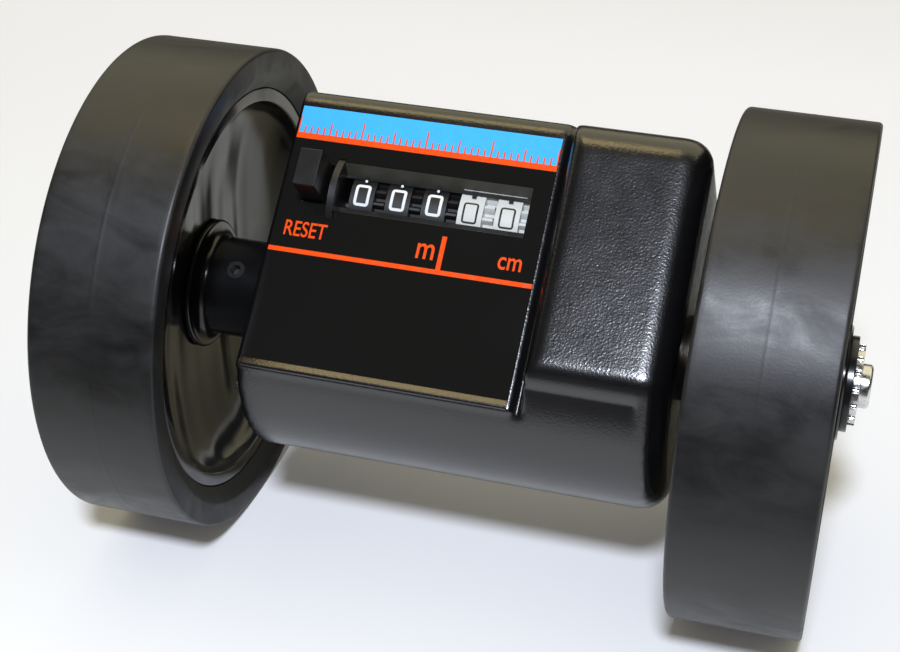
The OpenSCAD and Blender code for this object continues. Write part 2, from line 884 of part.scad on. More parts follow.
module counter_frame() {
    tab_left = key_x - key_w / 2;
    color("#1a1a1b")
        label_frame()
            difference() {
                union() {
                    box([frame_left - frame_t, frame_low, flange_n],
                        [frame_right + frame_t, frame_top, pocket_n]);
                    counter_rib();
                    counter_bezel();
                    for (x = [frame_left - frame_t, frame_right])
                        box([x, frame_low, frame_back], [x + frame_t, frame_top, flange_n + over]);
                    box([frame_left, frame_low, frame_back], [frame_right, number_u, frame_back + frame_t]);
                    box([tab_left, spring_u - spring_tab_l / 2, spring_seat - spring_tab_t],
                        [frame_left, spring_u + spring_tab_l / 2, spring_seat]);
                }
                at_point(number_u, number_n)
                    bar_x(frame_left, frame_right, number_r + gap);
                at_point(number_u, number_n) {
                    bar_x(frame_left - frame_t - over, 0, number_shaft_r + seat);
                    bar_x(frame_right - over, frame_right + frame_t + over, sleeve_r + gap);
                }
                at_point(carry_u, carry_n)
                    bar_x(frame_left - frame_t - over, frame_right + frame_t + over,
                        carry_shaft_d / 2 + seat);
                at_point(reset_u, reset_n) {
                    bar_x(frame_left - frame_t - over, 0, reset_tube_r + gap);
                    bar_x(0, frame_right + frame_t + over, reset_rod_r + seat);
                }
                for (p = frame_screw_places)
                    translate([p[0], p[1], flange_n - over])
                        cylinder(h = flange_t + 2 * over, r = frame_screw_r + seat);
            }
}

module counter_screws() {
    color("#b4b7ba")
        label_frame()
            for (p = frame_screw_places)
                translate([p[0], p[1], flange_n])
                    union() {
                        cylinder(h = flange_t + wall - frame_screw_sunk, r = frame_screw_r);
                        translate([0, 0, flange_t + wall - frame_screw_sunk - frame_screw_r])
                            cylinder(h = frame_screw_r, r1 = frame_screw_r, r2 = 2 * frame_screw_r);
                    }
}

module number_shaft() {
    color("#a9acb0")
        label_frame()
            at_point(number_u, number_n)
                bar_x(frame_left - frame_t - shaft_proud, shaft_bore_end - over, number_shaft_r);
}

module carry_shaft() {
    color("#a9acb0")
        label_frame()
            at_point(carry_u, carry_n)
                bar_x(frame_left - frame_t - shaft_proud, frame_right + frame_t + shaft_proud,
                    carry_shaft_d / 2);
}

module carry_outline(teeth, turn) {
    gear_outline(teeth, carry_module, ring_pressure, turn, carry_addendum, carry_dedendum);
}

// A number wheel carries its figures on the rim and a toothed ring on its right side
module number_wheel(i, shade) {
    left = digit_x(i) - digit_w / 2;
    right = digit_x(i) + digit_w / 2;
    recess = digit_w / 2;
    last = i == digits - 1;
    color(shade)
        label_frame()
            at_point(number_u, number_n)
                difference() {
                    union() {
                        bar_x(left, right, number_r);
                        drawn_x(right, right + ring_w)
                            carry_outline(ring_teeth, ring_turn);
                        if (last)
                            bar_x(right + ring_w, sleeve_end, sleeve_r);
                    }
                    difference() {
                        bar_x(left - over, left + recess, number_r - number_rim_t);
                        bar_x(left - over, left + recess, number_shaft_r + number_rim_t);
                    }
                    bar_x(left - over, sleeve_end + over, number_shaft_r + slip);
                }
}

module metre_hundreds_wheel() { number_wheel(0, "#151515"); }
module metre_tens_wheel() { number_wheel(1, "#151515"); }
module metre_units_wheel() { number_wheel(2, "#151515"); }
module decimetre_wheel() { number_wheel(3, "#f0f0ec"); }
module centimetre_wheel() { number_wheel(4, "#f0f0ec"); }

// A carry pinion meshes with the ring of the wheel on its left and spaces its neighbours
module carry_pinion(i) {
    ring_left = digit_x(i) + digit_w / 2;
    side_play = 0.2;
    end_play = 0.1;
    color("#d8d4c4")
        label_frame()
            at_point(carry_u, carry_n)
                difference() {
                    union() {
                        drawn_x(ring_left + side_play, ring_left + ring_w - side_play)
                            carry_outline(carry_teeth, carry_turn);
                        bar_x(digit_x(i) + end_play, digit_x(i + 1) - end_play, carry_hub_r);
                    }
                    bar_x(frame_left, frame_right, carry_shaft_d / 2 + slip);
                }
}

module carry_pinion_1() { carry_pinion(0); }
module carry_pinion_2() { carry_pinion(1); }
module carry_pinion_3() { carry_pinion(2); }
module carry_pinion_4() { carry_pinion(3); }

// Driving train

module train_gear(teeth, turn, x0, x1) {
    drawn_x(x0, x1)
        gear_outline(teeth, train_module, train_pressure, turn);
}

module drive_gear() {
    color("#c2a25a")
        label_frame()
            difference() {
                union() {
                    train_gear(drive_teeth, drive_turn, gear_x, gear_x + gear_w);
                    bar_x(gear_x + gear_w, gear_x + gear_w + gear_hub_l, gear_hub_r);
                }
                bar_x(gear_x - over, body_right, axle_r + seat);
                translate([gear_screw_x, 0, 0])
                    cylinder(h = gear_hub_r + over, r = gear_screw_r + seat);
            }
}

module drive_gear_screw() {
    color("#3a3b3d")
        label_frame()
            translate([gear_screw_x, 0, axle_r + seat])
                set_screw(gear_screw_r, gear_hub_r - axle_r - screw_sunk);
}

module idler_gear() {
    color("#d9d6cc")
        label_frame()
            at_point(idler_u, idler_n)
                difference() {
                    train_gear(idler_teeth, idler_turn, gear_x + idler_side, gear_x + gear_w - idler_side);
                    bar_x(gear_x - over, gear_x + gear_w + over, idler_pin_r + slip);
                }
}

module idler_pin() {
    color("#a9acb0")
        label_frame()
            at_point(idler_u, idler_n)
                difference() {
                    bar_x(clip_x - pin_tip, inner_right - over, idler_pin_r);
                    difference() {
                        bar_x(clip_x - seat, clip_x + clip_t + seat, idler_pin_r + over);
                        bar_x(clip_x - over, clip_x + clip_t + over, idler_pin_r - pin_neck);
                    }
                }
}

module idler_clip() {
    color("#6c6f73")
        label_frame()
            at_point(idler_u, idler_n)
                difference() {
                    bar_x(clip_x, clip_x + clip_t, idler_pin_r + clip_wall);
                    bar_x(clip_x - over, clip_x + clip_t + over, idler_pin_r - pin_neck + seat);
                    box([clip_x - over, 0, -clip_mouth / 2],
                        [clip_x + clip_t + over, idler_pin_r + clip_wall + over, clip_mouth / 2]);
                }
}

module counter_pinion() {
    color("#c2a25a")
        label_frame()
            at_point(number_u, number_n)
                difference() {
                    union() {
                        train_gear(counter_teeth, counter_turn, gear_x, gear_x + gear_w);
                        bar_x(pinion_hub_x, gear_x, pinion_hub_r);
                    }
                    bar_x(pinion_hub_x - over, sleeve_end + seat, sleeve_r + seat);
                    bar_x(sleeve_end, gear_x + gear_w + over, number_shaft_r + slip);
                }
}

// Reset

module reset_key() {
    left = key_x - key_w / 2;
    right = key_x + key_w / 2;
    low = key_u - key_l / 2;
    top = key_u + key_l / 2;
    color("#2a2a2c")
        label_frame()
            union() {
                box([left, low, key_under], [right, top, label_n + key_h]);
                box([left - key_flange_w, low - 2 * key_flange_w, key_under],
                    [right + key_flange_w, top + 2 * key_flange_w, key_flange_n]);
                box([left + key_flange_w, nose_u - nose_r, nose_n],
                    [right - key_flange_w, nose_u + nose_r, key_under]);
                at_point(nose_u, nose_n)
                    bar_x(left + key_flange_w, right - key_flange_w, nose_r);
                translate([key_x, spring_u, key_under - key_travel])
                    cylinder(h = key_travel, r = spring_post_r);
            }
}

// A coil spring as one tube round a helix, closed at both ends
module key_spring() {
    sides = 6;
    steps = 12;
    rings = spring_turns * steps;
    wire_r = spring_wire_d / 2;
    low = spring_seat + wire_r + seat;
    rise = key_under - spring_seat - spring_wire_d - 2 * seat;
    points = [for (k = [0 : rings], j = [0 : sides - 1])
        let (a = k * 360 / steps, b = j * 360 / sides, r = spring_r + wire_r * cos(b))
            [r * cos(a), r * sin(a), low + rise * k / rings + wire_r * sin(b)]];
    walls = [for (k = [0 : rings - 1], j = [0 : sides - 1])
        let (p = k * sides + j, q = k * sides + (j + 1) % sides)
            each [[p, q, q + sides], [p, q + sides, p + sides]]];
    first = [for (j = [1 : sides - 2]) [0, j + 1, j]];
    last = [for (j = [1 : sides - 2]) rings * sides * [1, 1, 1] + [0, j, j + 1]];
    color("#b9bcc0")
        label_frame()
            translate([key_x, spring_u, 0])
                polyhedron(points, concat(walls, first, last));
}

module reset_rod() {
    color("#a9acb0")
        label_frame()
            at_point(reset_u, reset_n)
                bar_x(key_x - key_w / 2, frame_right + frame_t + shaft_proud, reset_rod_r);
}

module reset_bar() {
    lever_x = key_x - lever_w / 2;
    color("#8d9095")
        label_frame()
            at_point(reset_u, reset_n)
                difference() {
                    union() {
                        bar_x(lever_x, frame_right - gap, reset_tube_r);
                        box([lever_x, -lever_l, -lever_r], [lever_x + lever_w, 0, lever_r]);
                        for (i = [0 : digits - 1])
                            box([digit_x(i) - finger_w / 2, -reset_tube_r - finger_l, -finger_t / 2],
                                [digit_x(i) + finger_w / 2, 0, finger_t / 2]);
                    }
                    bar_x(lever_x - over, frame_right, reset_rod_r + slip);
                }
}

housing();
left_end_cover();
end_cover_screws();
face_plate();
counter_frame();
counter_screws();
number_shaft();
carry_shaft();
reset_rod();
left_bush();
right_bush();
idler_pin();
idler_clip();
axle();
left_wheel_disc();
right_wheel_disc();
left_tyre();
right_tyre();
left_hub_washer();
right_hub_washer();
left_lock_washer();
right_lock_washer();
left_axle_bolt();
right_axle_bolt();
left_collar();
right_collar();
left_collar_screw();
right_collar_screw();
drive_gear();
drive_gear_screw();
idler_gear();
counter_pinion();
metre_hundreds_wheel();
metre_tens_wheel();
metre_units_wheel();
decimetre_wheel();
centimetre_wheel();
carry_pinion_1();
carry_pinion_2();
carry_pinion_3();
carry_pinion_4();
reset_key();
key_spring();
reset_bar();
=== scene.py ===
"""Looks of a measuring wheel counter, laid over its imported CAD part.

Lengths are in millimetres and MM turns them into Blender's metres.
The label frame has x along the axle, u up the sloping face and n out of it, from the axle's middle.
"""

import json
import math

import bmesh
import bpy
from mathutils import Matrix, Quaternion, Vector


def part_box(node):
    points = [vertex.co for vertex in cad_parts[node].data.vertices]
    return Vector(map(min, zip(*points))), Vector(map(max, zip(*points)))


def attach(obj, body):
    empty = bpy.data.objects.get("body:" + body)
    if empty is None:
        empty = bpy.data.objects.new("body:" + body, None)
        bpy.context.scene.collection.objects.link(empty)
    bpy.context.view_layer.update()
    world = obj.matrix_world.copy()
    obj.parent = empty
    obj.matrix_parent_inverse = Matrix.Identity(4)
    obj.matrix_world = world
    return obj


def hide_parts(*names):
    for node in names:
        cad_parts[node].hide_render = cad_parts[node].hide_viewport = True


MM = 0.001

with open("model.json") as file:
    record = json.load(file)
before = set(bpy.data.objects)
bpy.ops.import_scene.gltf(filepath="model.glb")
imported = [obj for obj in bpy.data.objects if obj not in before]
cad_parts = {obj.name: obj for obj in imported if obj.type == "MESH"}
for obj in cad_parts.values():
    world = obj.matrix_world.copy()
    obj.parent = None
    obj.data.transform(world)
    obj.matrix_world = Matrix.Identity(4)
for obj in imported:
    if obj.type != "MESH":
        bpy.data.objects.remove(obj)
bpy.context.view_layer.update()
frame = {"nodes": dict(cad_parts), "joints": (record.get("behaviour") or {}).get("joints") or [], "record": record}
nodes = frame["nodes"]
joints = {joint["name"]: joint for joint in frame["joints"]}

# Places taken from the frame
ALONG = Vector((1, 0, 0))
OUT = -Vector(joints["key_press"]["axis"]).normalized()
UP = OUT.cross(ALONG)
AXLE = Vector(joints["axle_turn"]["pos_m"])
NUMBER_AXIS = Vector(joints["centimetre_turn"]["pos_m"])


def label_place(point):
    """The label frame's x, u and n of a point of the row frame."""
    from_axle = (Vector(point) - AXLE) / MM
    return Vector((from_axle.dot(ALONG), from_axle.dot(UP), from_axle.dot(OUT)))


def label_box(node):
    """Lowest and highest x, u and n of a CAD node."""
    places = [label_place(vertex.co) for vertex in nodes[node].data.vertices]
    low = Vector([min(place[i] for place in places) for i in range(3)])
    high = Vector([max(place[i] for place in places) for i in range(3)])
    return low, high


def label_point(x, u, n):
    return AXLE + (ALONG * x + UP * u + OUT * n) * MM


PLATE_LOW, PLATE_HIGH = label_box("face_plate")
LABEL_N = PLATE_HIGH.z

# Photograph
CAMERA_AT = Vector((78.94, -307.03, 227.39))
CAMERA_AIM = Vector((-5.66, 0, 51.7))
CAMERA_ROLL_DEG = 1.453
LENS = 67.44
SENSOR = 36

# Wheels: main sizes as in the part's source, with a rounder tyre edge and a rounder dish
TYRE_FACE_W = 5
TYRE_CHAMFER_W = 3.5
TYRE_CHAMFER_DEPTH = 2
TYRE_EDGE_R = 0.9
TYRE_FACE_EASE_IN = 0.3
TYRE_FACE_EASE_OUT = 0.2
TYRE_FACE_EASE_DEPTH = 0.17
SIDE_FACING = 0.8
MOULD_LINE_W = 0.4
MOULD_LINE_H = 0.03
DISC_RIM_T = 3.2
DISH_DEPTH = 11
DISH_POWER = 0.75
DISH_STEPS = 40
DISC_WEB_T = 4
DISC_FLAT_D = 29
DISC_LIP_R = 0.6
HUB_D = 24
HUB_PROUD = 0.6
HUB_CHAMFER = 0.4
AXLE_BORE_D = 10.1
TURNED_STEPS = 192

# Sill of the casting under the plate: width, height over the plate, rounding and depth of its foot
SILL_W = 1.9
SILL_H = 0.5
SILL_ROUND = 0.5
SILL_FOOT = 0.6
SILL_START = 0.02
SILL_ARC_DEG = (73, 180)

# Label print, measured on the photograph
PRINT_T = 0.04
BLUE_STRIP_FROM = 29
RED_STRIP_U = (27.7, 29)
LINE_U = (2.35, 3.35)
LINE_TICK_X = (-5, -4)
LINE_TICK_TOP = 10.6
RULER_PITCH = 1.4
RULER_TICK_W = 0.34
RULER_TICKS = {10: 3.6, 5: 2.6, 1: 1.5}
WORD_WEIGHT = 0.009
WORDS = {
    "reset_word": ("RESET", (-38.5, -29.4), (6, 9.4)),
    "metre_word": ("m", (-9.7, -6), (5.2, 8.5)),
    "centimetre_word": ("cm", (7.4, 12.3), (5.4, 8.1)),
}

# Number wheels
BEZEL_DEPTH = 3.4
RIB_RIGHT = -28
# Painted highlight: a white line on the window's edge above the white wheels, for their light that the edge
# reflects
HIGHLIGHT_LINE_X = (-3.5, 9.9)
HIGHLIGHT_LINE_U = (22.22, 22.32)
HIGHLIGHT_LINE_N = (21.22, 21.45)
DIGIT_STEP_DEG = 36
RIM_W = 5.2
DIGIT_LIFT = 0.05
DIGIT_ROUND = 0.5
# Painted highlight on the index tab over each black wheel: its shift, place, size and sides
INDEX_SHIFT = 0.34
INDEX_U = 21.12
INDEX_N = 21.3
INDEX_GLINT_R = 0.29
INDEX_GLINT_SIDES = 16
BLACK_WHEELS = ("metre_hundreds", "metre_tens", "metre_units")
WHITE_WHEELS = ("decimetre", "centimetre")
# Width, height, stroke and drop below the middle of the figures
BLACK_WHEEL_FIGURES = (2.7, 4.15, 0.62, 0.15)
WHITE_WHEEL_FIGURES = (2.85, 4.15, 0.4, 0.7)


# Materials


def linear(red, green, blue):
    """A colour given in 0 to 255 screen values, as the shader's linear values."""
    def one(value):
        share = value / 255
        return share / 12.92 if share <= 0.04045 else ((share + 0.055) / 1.055) ** 2.4

    return (one(red), one(green), one(blue))


class Finish:
    """A material built node by node round one Principled shader."""

    def __init__(self, name, colour, roughness, metallic=0.0, sockets=None):
        self.material = bpy.data.materials.new(name)
        self.material.use_nodes = True
        self.tree = self.material.node_tree
        self.shader = self.tree.nodes["Principled BSDF"]
        self.shader.inputs["Base Color"].default_value = (*colour, 1)
        self.shader.inputs["Roughness"].default_value = roughness
        self.shader.inputs["Metallic"].default_value = metallic
        for socket, value in (sockets or {}).items():
            self.shader.inputs[socket].default_value = value
        self.place = self.add("TexCoord").outputs["Object"]

    def add(self, kind, **inputs):
        node = self.tree.nodes.new("ShaderNode" + kind)
        for name, value in inputs.items():
            socket = node.inputs[name.replace("_", " ").title()]
            if isinstance(value, bpy.types.NodeSocket):
                self.tree.links.new(value, socket)
            else:
                socket.default_value = value
        return node

    def link(self, source, socket):
        self.tree.links.new(source, self.shader.inputs[socket])

    def stretched(self, scale, place=None):
        """Texture places drawn out by a scale for each axis."""
        return self.add("Mapping", vector=place or self.place, scale=scale).outputs["Vector"]

    def noise(self, size, detail=3.0, rough=0.5, place=None, distortion=0.0):
        """Noise with features of about the given size in millimetres."""
        node = self.add("TexNoise", vector=place or self.place, scale=1 / (size * MM), detail=detail,
                        roughness=rough, distortion=distortion)
        return node.outputs["Fac"]

    def cells(self, size):
        node = self.add("TexVoronoi", vector=self.place, scale=1 / (size * MM))
        node.feature = "SMOOTH_F1"
        return node.outputs["Distance"]

    def spread(self, value, low, high, to_low, to_high):
        """A value's span from low to high, mapped onto another span and clamped to it."""
        node = self.add("MapRange", value=value, from_min=low, from_max=high, to_min=to_low, to_max=to_high)
        return node.outputs["Result"]

    def total(self, first, second, share=1.0):
        node = self.add("Math")
        node.operation = "MULTIPLY_ADD"
        self.tree.links.new(second, node.inputs[0])
        node.inputs[1].default_value = share
        self.tree.links.new(first, node.inputs[2])
        return node.outputs["Value"]

    def product(self, first, second):
        node = self.add("Math")
        node.operation = "MULTIPLY"
        self.tree.links.new(first, node.inputs[0])
        self.tree.links.new(second, node.inputs[1])
        return node.outputs["Value"]

    def tint(self, factor, low_colour, high_colour):
        """The base colour, from one colour to another along a factor."""
        node = self.tree.nodes.new("ShaderNodeValToRGB")
        node.color_ramp.elements[0].color = (*low_colour, 1)
        node.color_ramp.elements[1].color = (*high_colour, 1)
        self.tree.links.new(factor, node.inputs["Fac"])
        self.link(node.outputs["Color"], "Base Color")

    def rough(self, factor, low, high, to_low, to_high):
        self.link(self.spread(factor, low, high, to_low, to_high), "Roughness")

    def bump(self, height, depth, strength=1.0):
        """Relief of the given depth in millimetres."""
        node = self.add("Bump", height=height, distance=depth * MM, strength=strength)
        self.link(node.outputs["Normal"], "Normal")


def rubber(name, pale, shine):
    """Moulded rubber: cloudy wiping marks, a faint grey bloom and a fine grain."""
    finish = Finish(name, (0.01, 0.01, 0.01), 0.45, sockets={"Specular IOR Level": shine})
    bloom = finish.noise(24, detail=5, rough=0.6)
    wiped = finish.noise(9, detail=6, rough=0.62, place=finish.stretched((0.45, 1, 1)), distortion=1.1)
    marks = finish.total(bloom, wiped, 1.0)
    finish.tint(finish.spread(marks, 0.75, 1.25, 0, 1), (0.004, 0.004, 0.004), (pale, pale, pale))
    finish.rough(marks, 0.75, 1.25, 0.34, 0.54)
    finish.bump(finish.total(finish.noise(0.5, detail=2), wiped, 0.6), 0.03, 0.4)
    return finish.material


def enamel():
    """Gloss black enamel with the slight runs and waves of a sprayed coat."""
    finish = Finish("gloss_enamel", (0.006, 0.006, 0.0065), 0.06)
    finish.tint(finish.noise(9, detail=4), (0.004, 0.004, 0.0045), (0.008, 0.008, 0.0085))
    finish.rough(finish.noise(9, detail=5), 0.35, 0.7, 0.13, 0.2)
    runs = finish.noise(8, detail=0.0, place=finish.stretched((1, 1, 0.25)))
    waves = finish.noise(22, detail=0.0)
    finish.bump(finish.total(runs, waves, 1.6), 1.0, 0.9)
    return finish.material


def wrinkle_paint():
    """Black wrinkle paint on a casting: a leathery grain under a satin film."""
    finish = Finish("wrinkle_paint", (0.004, 0.004, 0.0045), 0.23, sockets={"IOR": 1.7})
    grain = finish.total(finish.noise(0.42, detail=1.5, rough=0.5), finish.cells(0.6), 0.4)
    finish.tint(finish.noise(14, detail=5), (0.002, 0.002, 0.0022), (0.005, 0.005, 0.0055))
    finish.rough(finish.noise(6, detail=5), 0.35, 0.7, 0.21, 0.25)
    finish.bump(grain, 0.045, 0.8)
    return finish.material


def label_film():
    """Printed gloss film: a flat, clean black with a few specks."""
    finish = Finish("label_film", (0.006, 0.006, 0.0052), 0.1)
    specks = finish.spread(finish.noise(0.6, detail=4), 0.74, 0.82, 0, 1)
    finish.tint(specks, (0.006, 0.006, 0.0052), (0.04, 0.04, 0.04))
    finish.rough(finish.noise(16, detail=5), 0.35, 0.7, 0.07, 0.13)
    return finish.material


def ink(name, colour):
    """Screen print, with a faint unevenness of the film."""
    finish = Finish(name, colour, 0.2)
    darker = tuple(0.88 * part for part in colour)
    finish.tint(finish.noise(2.5, detail=5), darker, colour)
    finish.rough(finish.noise(1.2, detail=3), 0.35, 0.7, 0.14, 0.26)
    return finish.material


def plastic(name, colour, roughness, grain=0.02):
    """Moulded plastic: a fine spark-eroded grain and slight changes of tone."""
    finish = Finish(name, colour, roughness)
    darker = tuple(0.82 * part for part in colour)
    finish.tint(finish.noise(6, detail=4), darker, colour)
    finish.rough(finish.noise(5, detail=4), 0.35, 0.7, roughness - 0.03, roughness + 0.04)
    finish.bump(finish.noise(0.35, detail=2), grain, 0.6)
    return finish.material


def oxide(name, colour, roughness):
    """Oiled black oxide on turned steel, with faint tool marks round it."""
    finish = Finish(name, colour, roughness)
    lighter = tuple(1.3 * part for part in colour)
    finish.tint(finish.noise(4, detail=3), colour, lighter)
    finish.rough(finish.noise(5, detail=3), 0.35, 0.7, roughness - 0.02, roughness + 0.03)
    finish.bump(finish.noise(0.3, detail=2, place=finish.stretched((1, 0.1, 0.1))), 0.002, 0.5)
    return finish.material


def metal(name, colour, roughness, drawn=(1, 1, 1), size=0.4):
    """Bare or plated metal with fine marks, drawn out along the way that it was worked."""
    finish = Finish(name, colour, roughness, metallic=1.0)
    marks = finish.noise(size, detail=5, place=finish.stretched(drawn))
    darker = tuple(0.72 * part for part in colour)
    finish.tint(finish.spread(marks, 0.35, 0.65, 0, 1), darker, colour)
    finish.rough(marks, 0.3, 0.7, roughness - 0.08, roughness + 0.12)
    finish.bump(marks, 0.01, 0.5)
    return finish.material


RUBBER = rubber("rubber", 0.017, 0.5)
# Painted shade: a darker, less shiny copy of the rubber for the tyres' side faces, which look darker for the dark
# parts that they reflect
SHADED_SIDE_RUBBER = rubber("shaded_side_rubber", 0.012, 0.25)
ENAMEL = enamel()
WRINKLE = wrinkle_paint()
FILM = label_film()
BLUE_INK = ink("blue_ink", linear(66, 176, 242))
RED_INK = ink("red_ink", linear(238, 78, 16))
WHITE_INK = ink("white_ink", (0.76, 0.79, 0.82))
GREY_INK = ink("grey_ink", (0.03, 0.031, 0.025))
BLACK_PLASTIC = plastic("black_plastic", (0.006, 0.006, 0.0058), 0.44)
GLOSS_PLASTIC = plastic("gloss_black_plastic", (0.008, 0.008, 0.0075), 0.26, grain=0.004)
# Painted light: lighter copies of the black plastic, a painted highlight on the rib's side and a painted
# reflection of the bright floor on the window's upper wall
RIB_PAINTED_HIGHLIGHT = plastic("rib_painted_highlight", (0.11, 0.113, 0.125), 0.45)
BEZEL_PAINTED_LIGHT = plastic("wall_painted_light", (0.05, 0.048, 0.038), 0.45, grain=0.02)
KEY_PLASTIC = plastic("key_plastic", (0.006, 0.006, 0.0058), 0.31, grain=0.02)
WHITE_PLASTIC = plastic("white_plastic", (0.6, 0.62, 0.6), 0.36)
ACETAL = plastic("acetal", (0.74, 0.71, 0.62), 0.34)
BLACK_STEEL = oxide("black_oxide", (0.004, 0.004, 0.0045), 0.2)
SCREW_STEEL = oxide("worn_oxide", (0.01, 0.01, 0.01), 0.3)
ZINC = metal("zinc", (0.8, 0.81, 0.79), 0.2, size=0.8)
STEEL = metal("ground_steel", (0.56, 0.57, 0.58), 0.26, drawn=(0.15, 1, 1))
BRASS = metal("brass", (0.72, 0.52, 0.24), 0.28, drawn=(0.3, 1, 1))
SINTERED = metal("oiled_bronze", (0.05, 0.042, 0.03), 0.42, size=0.25)

NODE_FINISHES = {
    WRINKLE: ("housing", "left_end_cover"),
    FILM: ("face_plate",),
    ENAMEL: ("left_wheel_disc", "right_wheel_disc"),
    RUBBER: ("left_tyre", "right_tyre"),
    BLACK_STEEL: ("left_collar", "right_collar", "left_hub_washer", "right_hub_washer", "idler_clip"),
    SCREW_STEEL: ("left_collar_screw", "right_collar_screw", "drive_gear_screw"),
    ZINC: ("left_lock_washer", "right_lock_washer", "left_axle_bolt", "right_axle_bolt",
           "end_cover_screws", "counter_screws"),
    STEEL: ("axle", "number_shaft", "carry_shaft", "reset_rod", "idler_pin", "key_spring", "reset_bar"),
    BRASS: ("drive_gear", "counter_pinion"),
    SINTERED: ("left_bush", "right_bush"),
    GLOSS_PLASTIC: ("counter_frame",),
    BLACK_PLASTIC: ("metre_hundreds_wheel", "metre_tens_wheel", "metre_units_wheel"),
    KEY_PLASTIC: ("reset_key",),
    WHITE_PLASTIC: ("decimetre_wheel", "centimetre_wheel"),
    ACETAL: ("idler_gear", "carry_pinion_1", "carry_pinion_2", "carry_pinion_3", "carry_pinion_4"),
}
BODY_OF = {node: body for body, members in frame["record"]["behaviour"]["bodies"].items() for node in members}
FINISH_OF = {node: material for material, members in NODE_FINISHES.items() for node in members}
for node, material in FINISH_OF.items():
    nodes[node].data.materials.clear()
    nodes[node].data.materials.append(material)


# Mesh helpers


def piece(name, mesh, material, body, smooth_deg=30):
    """A new object from a bmesh, which rides on a body."""
    data = bpy.data.meshes.new(name)
    mesh.to_mesh(data)
    mesh.free()
    data.materials.append(material)
    for polygon in data.polygons:
        polygon.use_smooth = True
    data.set_sharp_from_angle(angle=math.radians(smooth_deg))
    made = bpy.data.objects.new(name, data)
    bpy.context.scene.collection.objects.link(made)
    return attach(made, body)


def stands_for(made, node):
    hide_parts(node)
    return made


def arc(centre, radius, from_deg, to_deg, steps=6):
    """Points of an arc in a profile's two coordinates."""
    angles = [math.radians(from_deg + (to_deg - from_deg) * i / steps) for i in range(steps + 1)]
    return [(centre[0] + radius * math.cos(a), centre[1] + radius * math.sin(a)) for a in angles]


def turned(node, profile, side):
    """A turned piece about the axle from a closed loop of radius and x, x counted outwards on each side."""
    mesh = bmesh.new()
    rings = []
    for i in range(TURNED_STEPS):
        angle = math.tau * i / TURNED_STEPS
        spoke = UP * math.cos(angle) + OUT * math.sin(angle)
        rings.append([mesh.verts.new(AXLE + (ALONG * side * x + spoke * r) * MM) for r, x in profile])
    for ring, following in zip(rings, rings[1:] + rings[:1]):
        for j in range(len(profile)):
            k = (j + 1) % len(profile)
            mesh.faces.new((ring[j], ring[k], following[k], following[j]))
    bmesh.ops.recalc_face_normals(mesh, faces=mesh.faces)
    made = piece(node + "_turned", mesh, FINISH_OF[node], BODY_OF[node])
    return stands_for(made, node)


def softened(node, width, segments=3, smooth_deg=30):
    """A CAD node's shape with its sharp edges rounded off."""
    mesh = bmesh.new()
    mesh.from_mesh(nodes[node].data)
    bmesh.ops.remove_doubles(mesh, verts=mesh.verts, dist=0.002 * MM)
    bmesh.ops.dissolve_limit(mesh, angle_limit=math.radians(0.5), verts=mesh.verts, edges=mesh.edges)
    sharp = [e for e in mesh.edges if e.is_manifold and e.calc_face_angle() > math.radians(smooth_deg)]
    bmesh.ops.bevel(mesh, geom=sharp, offset=width * MM, segments=segments, profile=0.5,
                    affect="EDGES", clamp_overlap=True)
    made = piece(node + "_soft", mesh, FINISH_OF[node], BODY_OF[node], smooth_deg)
    made.modifiers.new("flat_faces", "WEIGHTED_NORMAL").keep_sharp = True
    return stands_for(made, node)


def plate(name, outline, n, thickness, material, body="body"):
    """A thin piece over the label frame from its outline of x and u, at one height or one for each corner."""
    mesh = bmesh.new()
    heights = n if isinstance(n, list) else [n] * len(outline)
    low = [mesh.verts.new(label_point(x, u, h)) for (x, u), h in zip(outline, heights)]
    high = [mesh.verts.new(label_point(x, u, h + thickness)) for (x, u), h in zip(outline, heights)]
    mesh.faces.new(low)
    mesh.faces.new(high)
    for i in range(len(outline)):
        k = (i + 1) % len(outline)
        mesh.faces.new((low[i], low[k], high[k], high[i]))
    bmesh.ops.recalc_face_normals(mesh, faces=mesh.faces)
    return piece(name, mesh, material, body)


def rectangle(x_span, u_span):
    return [(x_span[0], u_span[0]), (x_span[1], u_span[0]), (x_span[1], u_span[1]), (x_span[0], u_span[1])]


# Wheels


def make_tyre(side, node):
    """A solid tyre with a fine mould line round its tread and chamfers down to the rim."""
    low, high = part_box(node)
    inner, outer = sorted(abs(x) / MM for x in (low.x, high.x))
    radius = (high.z - low.z) / 2 / MM
    tread = radius - MOULD_LINE_H
    face_in = radius - TYRE_FACE_W
    rim = face_in - TYRE_CHAMFER_W
    middle = (inner + outer) / 2
    edge = TYRE_EDGE_R
    ease_in = face_in - TYRE_FACE_EASE_IN
    ease_out = face_in + TYRE_FACE_EASE_OUT
    profile = [(rim, inner + TYRE_CHAMFER_DEPTH), (ease_in, inner + TYRE_FACE_EASE_DEPTH), (ease_out, inner)]
    line = MOULD_LINE_W / 2
    profile += arc((tread - edge, inner + edge), edge, -90, 0)
    profile += [(tread, inner + 2 * edge), (tread, middle - 4 * line), (tread, middle - 2 * line)]
    profile += [(radius, middle - line / 2), (radius, middle + line / 2)]
    profile += [(tread, middle + 2 * line), (tread, middle + 4 * line), (tread, outer - 2 * edge)]
    profile += arc((tread - edge, outer - edge), edge, 0, 90)
    profile += [(ease_out, outer), (ease_in, outer - TYRE_FACE_EASE_DEPTH), (rim, outer - TYRE_CHAMFER_DEPTH)]
    made = turned(node, profile, side)
    # Painted shade: the side faces take the darker copy of the rubber
    made.data.materials.append(SHADED_SIDE_RUBBER)
    for polygon in made.data.polygons:
        if abs(polygon.normal.x) > SIDE_FACING:
            polygon.material_index = 1


